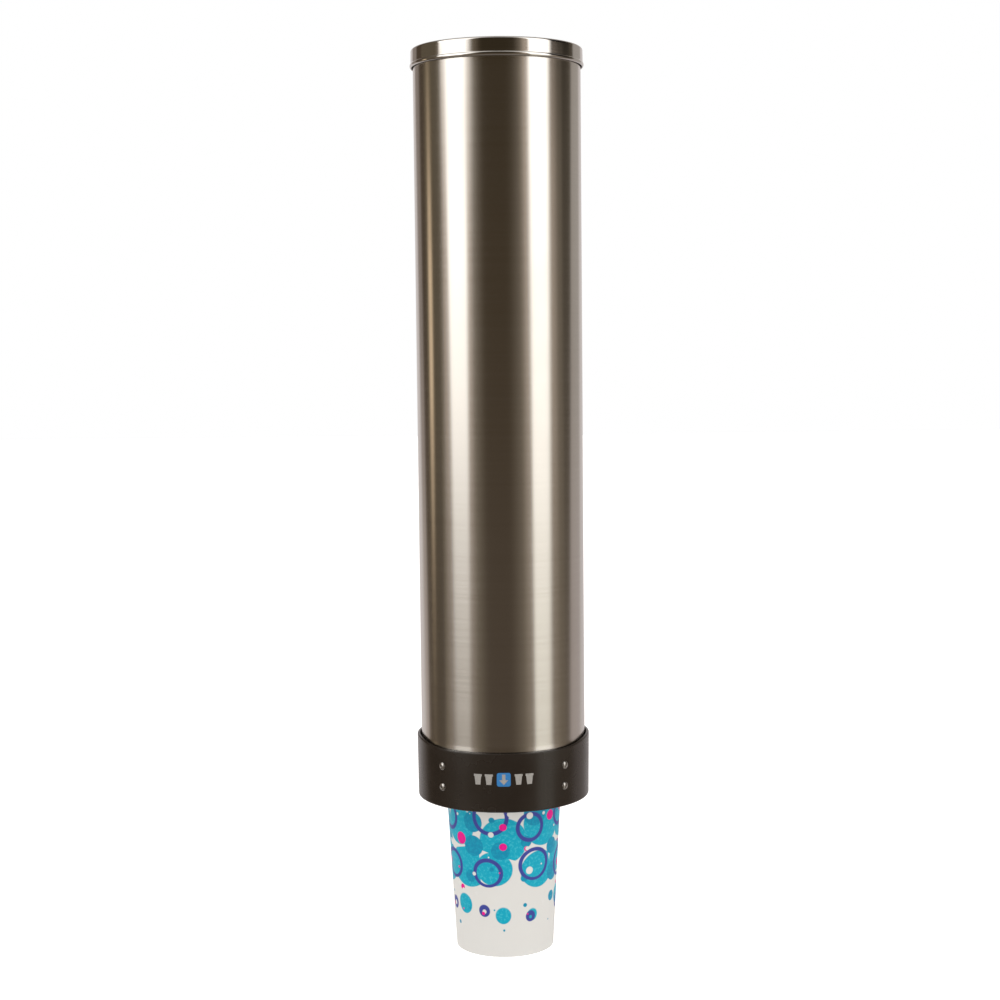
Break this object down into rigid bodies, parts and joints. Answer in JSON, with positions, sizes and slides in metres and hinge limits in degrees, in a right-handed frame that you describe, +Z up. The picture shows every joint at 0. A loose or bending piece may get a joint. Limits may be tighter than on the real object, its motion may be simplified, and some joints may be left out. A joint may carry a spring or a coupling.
{
  "type": "wall-mounted cup dispenser",
  "caption": "Upright steel tube hung on a wall plate, with a slip-on lid above and a dark collar below whose spring fingers hold a stack of nested paper cups by the rim.",
  "frame": {"origin": "centre of the four wall screw holes, on the wall side of the wall plate", "axes": "+Z up along the tube, +Y into the wall through the screw holes, -Y towards the user, +X to the viewer's right"},
  "size_m": [0.1336, 0.137, 0.6925],
  "materials": {
    "tube_steel": "brushed",
    "lid_steel": "satin",
    "collar_plastic": "semi-matt",
    "rivet_aluminium": "satin",
    "spring_steel": "satin",
    "plate_steel": "satin",
    "cup_paper": "satin"
  },
  "bodies": {
    "wall_plate": {"wall_plate": "plate_steel"},
    "dispenser": {"tube": "tube_steel", "collar": "collar_plastic", "collar_rivets": "rivet_aluminium", "finger_front_left": "spring_steel", "finger_front_right": "spring_steel", "finger_rear_left": "spring_steel", "finger_rear_right": "spring_steel", "hanger_upper": "plate_steel", "hanger_lower": "plate_steel", "hanger_rivets": "rivet_aluminium"},
    "lid": {"lid": "lid_steel"},
    "stack": {"cup_2": "cup_paper", "cup_3": "cup_paper", "cup_4": "cup_paper", "cup_5": "cup_paper", "cup_6": "cup_paper"},
    "cup": {"cup_1": "cup_paper"}
  },
  "joints": [
    {"name": "lift_off", "type": "slide", "parent": "wall_plate", "child": "dispenser", "axis": [0, 0, 1], "range_m": [0, 0.02]},
    {"name": "lid_lift", "type": "slide", "parent": "dispenser", "child": "lid", "axis": [0, 0, 1], "range_m": [0, 0.06]},
    {"name": "stack_feed", "type": "slide", "parent": "dispenser", "child": "stack", "axis": [0, 0, -1], "range_m": [0, 0.0145], "deforming": ["finger_front_left", "finger_front_right", "finger_rear_left", "finger_rear_right"]},
    {"name": "cup_pull", "type": "slide", "parent": "stack", "child": "cup", "axis": [0, 0, -1], "range_m": [0, 0.16], "deforming": ["finger_front_left", "finger_front_right", "finger_rear_left", "finger_rear_right"]}
  ]
}
